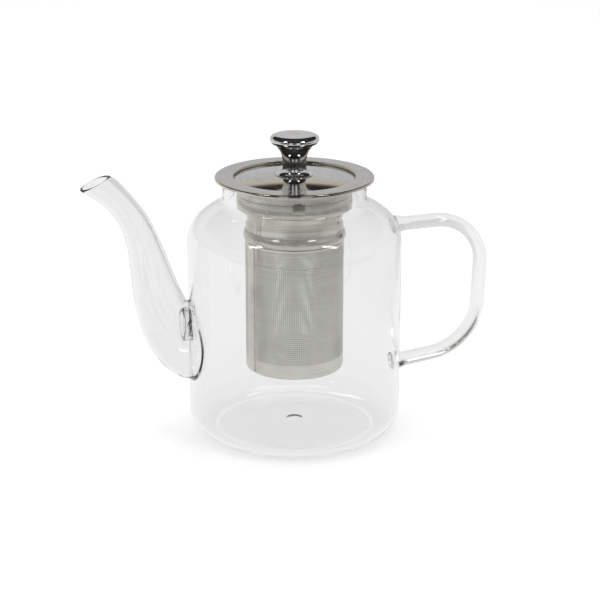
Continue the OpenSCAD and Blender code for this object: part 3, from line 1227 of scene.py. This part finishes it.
    def base(self, plain: bpy.types.Material) -> bpy.types.Object:
        """The pressed base with its lip inside the tube.

        Args:
            plain: Its material.

        Returns:
            The piece.
        """
        wall, inner = self.tube_sheet + 0.1, self.tube_r - self.tube_sheet
        round_c = (self.tube_r - self.corner, self.base_z + self.corner)
        dish_z = self.base_z + self.base_dish
        outline = (
            [(0, dish_z), (self.tube_r - self.dish_side, dish_z),
             (self.tube_r - self.dish_side + 1, self.base_z)]
            + arc(round_c, self.corner, -90, 0, 10)
            + [(inner, round_c[1] + 0.02), (inner, round_c[1] + self.base_lip),
               (inner - wall, round_c[1] + self.base_lip)]
            + arc((inner - wall - 0.6, self.base_z + wall + 0.6), 0.6, 0, -90, 6)
            + [(self.tube_r - self.dish_side + 0.8, self.base_z + wall),
               (self.tube_r - self.dish_side, dish_z + wall), (0, dish_z + wall)])
        return turned("infuser_base_disc", outline, plain, closed=False, around=144)


# ---------------------------------------------------------------- the lid


@dataclass
class Lid:
    """The spun cover with its locating ring, knob, washer and screw."""

    lid_r: float = 30.7
    sheet: float = 0.8
    edge: float = 0.5
    ledge_z: float = 133.6
    land_r: float = 9.8
    land_z: float = 136.3
    ring_out: float = 28.55
    ring_t: float = 0.6
    ring_z: float = 127.5
    knob_r: float = 12.6
    knob_h: float = 21.0
    foot_r: float = 9.5
    stem_r: float = 6.1
    rim_r: float = 2.2
    dish: float = 0.7
    screw_r: float = 2.0
    screw_depth: float = 10.0
    washer_r: float = 5.0
    washer_h: float = 0.8
    head_r: float = 3.6
    head_h: float = 2.4

    def build(self, spun: bpy.types.Material, satin: bpy.types.Material,
              mirror: bpy.types.Material) -> None:
        """Make the five steel pieces and hand them over.

        Args:
            spun: Material of the cover.
            satin: Material of the locating ring.
            mirror: Material of the knob, the washer and the screw.
        """
        hand_over(self.cover(spun), "lid", "satin_steel", "lid_cover")
        hand_over(self.ring(satin), "lid", "satin_steel", "lid_ring")
        hand_over(self.knob(mirror), "lid", "polished_steel", "knob")
        hand_over(self.washer(mirror), "lid", "polished_steel", "knob_washer")
        hand_over(self.screw(mirror), "lid", "polished_steel", "knob_screw")

    def top(self, radius: float) -> float:
        """Height of the cover's upper face at a radius, in millimetres."""
        drop = self.land_z - self.ledge_z - self.sheet
        span = (self.lid_r - self.edge) ** 2 - self.land_r ** 2
        return self.land_z - drop * max(radius ** 2 - self.land_r ** 2, 0) / span

    def cover(self, spun: bpy.types.Material) -> bpy.types.Object:
        """The shallow cover with a rounded edge.

        Args:
            spun: Its material.

        Returns:
            The piece.
        """
        steps, hole = 24, self.screw_r + 0.2
        fall = [self.land_r + (self.lid_r - self.edge - self.land_r) * i / steps
                for i in range(steps + 1)]
        upper = [(hole, self.land_z)] + [(r, self.top(r)) for r in fall]
        lower = [(r, z - self.sheet) for r, z in reversed(upper)]
        edge = arc((self.lid_r - self.sheet / 2, self.ledge_z + self.sheet / 2), self.sheet / 2,
                   60, -80, 8)
        return turned("lid_cover_spun", upper + edge + lower, spun, around=192)

    def ring(self, satin: bpy.types.Material) -> bpy.types.Object:
        """The locating ring under the cover.

        Args:
            satin: Its material.

        Returns:
            The piece.
        """
        inside = self.ring_out - self.ring_t
        corners = [(inside, self.ring_z, 0.2), (self.ring_out, self.ring_z, 0.2),
                   (self.ring_out, self.top(self.ring_out) - self.sheet, 0),
                   (inside, self.top(inside) - self.sheet, 0)]
        return turned("lid_locating_ring", eased(corners, 0.0), satin, around=144)

    def knob(self, mirror: bpy.types.Material) -> bpy.types.Object:
        """The turned knob with a waisted stem and a rounded, slightly dished head.

        Args:
            mirror: Its material.

        Returns:
            The piece.
        """
        z, stem, top = self.land_z, self.stem_r, self.land_z + self.knob_h
        rim = (self.knob_r - self.rim_r, top - self.rim_r - 0.5)
        under = math.radians(-75)
        start = (rim[0] + self.rim_r * math.cos(under), rim[1] + self.rim_r * math.sin(under))
        crest = math.radians(74)
        end = (rim[0] + self.rim_r * math.cos(crest), rim[1] + self.rim_r * math.sin(crest))
        depth = z + self.screw_depth
        outline = (
            [(0, depth), (self.screw_r, depth), (self.screw_r, z), (self.foot_r - 0.3, z),
             (self.foot_r - 0.08, z + 0.08), (self.foot_r, z + 0.3)]
            + bend((self.foot_r - 0.02, z + 0.5), (self.foot_r - 3.3, z + 0.9), (stem, z + 2.3),
                   (stem, z + 4.7), 18)
            + bend((stem, z + 4.9), (stem + 0.05, z + 9), (stem + 0.4, z + 11.2),
                   (stem + 1.9, z + 13.2), 16)
            + bend((stem + 2.0, z + 13.35), (stem + 3.2, z + 15), (rim[0] - 0.6,
                   rim[1] - self.rim_r - 0.15), start, 14)
            + arc(rim, self.rim_r, -73, 72, 22)
            + bend(end, (self.knob_r - 2.6, top + 0.02), (7, top - 0.15), (0, top - self.dish), 16))
        return turned("turned_knob", outline, mirror, closed=False, around=144)

    def washer(self, mirror: bpy.types.Material) -> bpy.types.Object:
        """The washer under the cover.

        Args:
            mirror: Its material.

        Returns:
            The piece.
        """
        top = self.land_z - self.sheet
        inner = self.screw_r + 0.2
        corners = [(inner, top - self.washer_h), (self.washer_r, top - self.washer_h),
                   (self.washer_r, top), (inner, top)]
        return turned("knob_washer_ring", eased(corners, 0.12), mirror, around=72)

    def screw(self, mirror: bpy.types.Material) -> bpy.types.Object:
        """The cross-slotted screw that holds the knob.

        Args:
            mirror: Its material.

        Returns:
            The piece.
        """
        head = self.land_z - self.sheet - self.washer_h
        low, tip = head - self.head_h, self.land_z + self.screw_depth
        outline = ([(0, low)] + bend((1.2, low), (2.6, low + 0.05), (self.head_r, low + 0.7),
                                     (self.head_r, low + 1.3), 8)
                   + [(self.head_r, head - 0.1), (self.head_r - 0.1, head), (self.screw_r, head),
                      (self.screw_r, tip - 0.5), (self.screw_r - 0.5, tip), (0, tip)])
        made = turned("knob_screw_cross", outline, mirror, closed=False, around=64)
        for turn in (0, 90):
            slot = block("slot", (-2, -0.4, low - 1), (2, 0.4, low + 1.2), turn, mirror)
            made = combined(made, slot, Cut.AWAY)
        return outward(made)


# ---------------------------------------------------------------- the studio


@dataclass(frozen=True)
class Lamp:
    """A flat studio light that faces the pot."""

    name: str
    place: tuple[float, float, float]
    along: tuple[float, float, float]
    size: tuple[float, float]
    power: float
    mirrored: bool

    def light(self, aim: Vector) -> None:
        """Put the lamp in the scene.

        Args:
            aim: Place that it faces.
        """
        lamp = bpy.data.lights.new(self.name, "AREA")
        lamp.shape = "RECTANGLE"
        lamp.size, lamp.size_y = self.size
        lamp.energy = self.power
        back = (Vector(self.place) - aim).normalized()
        side = Vector(self.along)
        side = (side - back * side.dot(back)).normalized()
        turn = Matrix((side, back.cross(side), back)).transposed()
        made = bpy.data.objects.new(self.name, lamp)
        made.matrix_world = Matrix.Translation(self.place) @ turn.to_4x4()
        made.visible_glossy = self.mirrored
        bpy.context.scene.collection.objects.link(made)


LAMPS = (
    Lamp("strip_left", (-0.81, -0.41, 1.02), (0.32, -0.15, 0.22), (0.3, 0.12), 1.6, True),
    Lamp("strip_right", (0.54, -0.69, 1.04), (0.4, 0.0, -0.22), (0.32, 0.12), 1.6, True),
    Lamp("soft_box_top", (0.1, 0.1, 1.7), (1.0, 0.0, 0.0), (1.3, 0.9), 6.0, False),
    Lamp("soft_box_back", (0.0, 0.9, 1.1), (1.0, 0.0, 0.0), (0.8, 0.2), 2.0, False),
)


@dataclass
class Studio:
    """Pale floor, soft light from a bright room, and the camera."""

    floor_half: float = 9.0
    floor_tone: float = 0.62
    floor_glow: float = 0.6
    # Painted light: what reflected and refracted rays see of the floor, a small lit share and a
    # strong glow, which paints out the shade under the pot.
    bounce_tone: float = 0.12
    floor_bounce: float = 0.83
    # Painted reflections of black cards, seen only by glass and steel: where the dark far edge, its
    # gaps, the dark patch and the dark right side lie on the floor.
    painted_dark_edge: tuple[float, float] = (0.48, 0.58)
    painted_dark_front: tuple[float, float] = (-0.12, -0.3)
    painted_card_gaps: tuple[float, float] = (-0.5, 0.12)
    gap_side: tuple[float, float] = (0.12, 0.17)
    painted_right_dark: tuple[float, float] = (0.17, 0.3)
    painted_right_depth: float = 0.3
    painted_patch_near: tuple[float, float] = (0.36, 0.47)
    painted_patch_far: tuple[float, float] = (0.62, 0.7)
    aim: tuple[float, float, float] = (0.0, 0.0, 0.0692)
    distance: float = 0.951
    pitch: float = 18.2
    turn: float = -11.0
    lens: float = 110.0
    shift: float = 0.0092

    def build(self) -> None:
        """Make the floor, the world, the lights and the camera."""
        self.floor()
        self.world()
        for lamp in LAMPS:
            lamp.light(Vector(self.aim))
        self.camera()
        scene = bpy.context.scene
        scene.view_settings.view_transform = "Standard"
        scene.cycles.max_bounces = 24
        scene.cycles.transmission_bounces = 20
        scene.cycles.glossy_bounces = 8
        scene.cycles.sample_clamp_indirect = 6.0

    def gaps(self, x: Wire, y: Wire) -> Wire:
        """Find the two bright gaps between the painted dark cards in front.

        Args:
            x: Sideways part of a place or a direction.
            y: Its depth.

        Returns:
            1 in a gap, 0 outside.
        """
        bearing = x / y.maths("ABSOLUTE").maths("MAXIMUM", 0.001)
        left, right = (1 - (bearing - at).maths("ABSOLUTE").step(*self.gap_side)
                       for at in self.painted_card_gaps)
        return left.maths("MAXIMUM", right)

    def floor(self) -> None:
        """The plain pale floor, lit a little from within like a light table.

        Glass and steel see a painted version of it: a shade greyer, with more glow and less lit
        share, which paints out the shade under the pot, and with painted reflections of black cards
        that
        stand nowhere in the scene: a dark patch, a dark right side and a dark far edge in front.
        """
        h = self.floor_half
        mesh = bpy.data.meshes.new("floor")
        mesh.from_pydata([(-h, -h, 0), (h, -h, 0), (h, h, 0), (-h, h, 0)], [], [(0, 1, 2, 3)])
        tree = Finish("pale_floor")
        x, y, _ = tree.parts(tree.place)
        away = (x * x + y * y) ** 0.5
        # Painted reflections: dark cards painted into the floor's colour; there are no cards in the
        # scene.
        edge = away.step(*self.painted_dark_edge) * y.step(*self.painted_dark_front) * (1 - self.gaps(x, y))
        patch = (away.step(*self.painted_patch_near) * (1 - away.step(*self.painted_patch_far))
                 * (x * 0.8 - y * 0.6).step(-0.06, 0.12) * (x * 0.45 + y * 0.89).step(0.05, -0.12))
        right = x.step(*self.painted_right_dark) * self.painted_right_depth
        dark = edge.maths("MAXIMUM", patch).maths("MAXIMUM", right)
        # Camera rays see the plain floor; other rays see the painted cards at full strength, and
        # rays through glass at 60 percent of it.
        rays = tree.node("ShaderNodeLightPath")
        pale = 1 - dark * (1 - Wire(tree, rays.outputs["Is Transmission Ray"]) * 0.4)
        seen = Wire(tree, rays.outputs["Is Camera Ray"])
        # Painted light: for all but camera rays the floor keeps little of its lit share and glows
        # more, so the shade under the pot is painted out as seen through the glass.
        base = seen * self.floor_tone + (1 - seen) * pale * self.bounce_tone
        glow = seen * self.floor_glow + (1 - seen) * pale * self.floor_bounce
        mesh.materials.append(tree.close({
            "Base Color": tree.grey(base), "Roughness": 1.0, "Specular IOR Level": 0.0,
            "Emission Color": tree.grey(glow), "Emission Strength": 1.0}))
        linked("floor", mesh)

    def world(self) -> None:
        """The room: pale walls for glass and floor, darker above for the steel's reflections."""
        world = bpy.data.worlds.new("room")
        bpy.context.scene.world = world
        world.use_nodes = True
        world.node_tree.nodes.clear()
        tree = Tree(world.node_tree)
        way = tree.out("ShaderNodeTexCoord", None, None, "Generated")
        x, y, z = tree.parts(way)
        walls = tree.out("ShaderNodeValToRGB", {"stops": [
            (0.0, (0.6, 0.61, 0.62)), (0.22, (0.62, 0.63, 0.66)), (0.27, (0.64, 0.65, 0.68)),
            (0.32, (0.66, 0.63, 0.57)), (0.385, (0.68, 0.63, 0.54)), (0.41, (0.02, 0.02, 0.02)),
            (1.0, (0.05, 0.05, 0.05))]}, {0: z})
        facing = (x * -0.19 - y * 0.98).step(0.35, 0.75) * z.step(0.02, 0.12)
        sides = x.maths("ABSOLUTE").step(0.7, 0.95) * z.step(0.0, 0.06)
        seen = tree.mixed(facing * 0.92, walls, (0.03, 0.03, 0.03))
        strip = self.gaps(x, y) * y.step(-0.2, -0.4)
        seen = tree.mixed(strip * z.step(0.4, 0.36), seen, (0.85, 0.86, 0.88))
        rays = tree.node("ShaderNodeLightPath")
        soft = tree.mixed(z.step(0.3, 0.7), (0.7, 0.71, 0.71), (0.46, 0.47, 0.47))
        soft = tree.mixed(sides * 0.5, soft, (0.2, 0.2, 0.2))
        soft = tree.mixed(facing * 0.35, soft, (0.03, 0.03, 0.03))
        seen = tree.mixed(rays.outputs["Is Transmission Ray"], seen, soft)
        colour = tree.mixed(rays.outputs["Is Diffuse Ray"], seen, (0.5, 0.5, 0.5))
        colour = tree.mixed(rays.outputs["Is Camera Ray"], colour, (1.0, 1.0, 1.0))
        back = tree.node("ShaderNodeBackground", None, {"Color": colour, "Strength": 1.0})
        tree.node("ShaderNodeOutputWorld", None, {"Surface": back.outputs[0]})

    def camera(self) -> None:
        """The camera, a little above the pot and turned to the spout's side."""
        lens = bpy.data.cameras.new("camera")
        lens.sensor_width = 36.0
        lens.lens = self.lens
        lens.shift_x = self.shift
        pitch, turn = math.radians(self.pitch), math.radians(self.turn)
        back = Vector((math.sin(turn) * math.cos(pitch), -math.cos(turn) * math.cos(pitch),
                       math.sin(pitch)))
        made = bpy.data.objects.new("camera", lens)
        made.location = Vector(self.aim) + back * self.distance
        made.rotation_euler = (-back).to_track_quat("-Z", "Y").to_euler()
        bpy.context.scene.collection.objects.link(made)
        bpy.context.scene.camera = made


def main() -> None:
    """Build the studio, the pot, the infuser and the lid."""
    logging.basicConfig(level=logging.INFO, format="%(name)s: %(message)s")
    Studio().build()
    glass = ClearGlass("clear_glass").material()
    collar = Steel("satin_collar_steel", colour=(0.62, 0.59, 0.545), shade=(0.5, 0.47, 0.43),
                   bands=((100.0, 0.06), (117.0, 0.07), (119.0, 0.26), (132.0, 0.26), (134.0, 0.09),
                          (136.0, 0.09)))
    tube = Steel("perforated_steel", colour=(0.72, 0.705, 0.665), shade=(0.62, 0.6, 0.56),
                 bands=((30.0, 0.36), (90.0, 0.34), (104.0, 0.12)), grain=Grain.NONE)
    plain = Steel("satin_base_steel", bands=((30.0, 0.25), (50.0, 0.25)))
    ring = Steel("satin_ring_steel", bands=((125.0, 0.25), (136.0, 0.25)))
    spun = Steel("spun_lid_steel", bands=((130.0, 0.08), (140.0, 0.08)), grain_depth=0.000004,
                 spread=0.03)
    mirror = Steel("polished_knob_steel", colour=(0.72, 0.72, 0.72), shade=(0.66, 0.66, 0.66),
                   bands=((130.0, 0.06), (160.0, 0.06)), spread=0.02, grain=Grain.NONE, marks=0.04)
    GlassPot().build(glass)
    Infuser().build(collar.material(), tube.material(), plain.material())
    polished = mirror.material()
    Lid().build(spun.material(), ring.material(), polished)
    log.info("all pieces are in place")


if __name__ == "__main__":
    main()
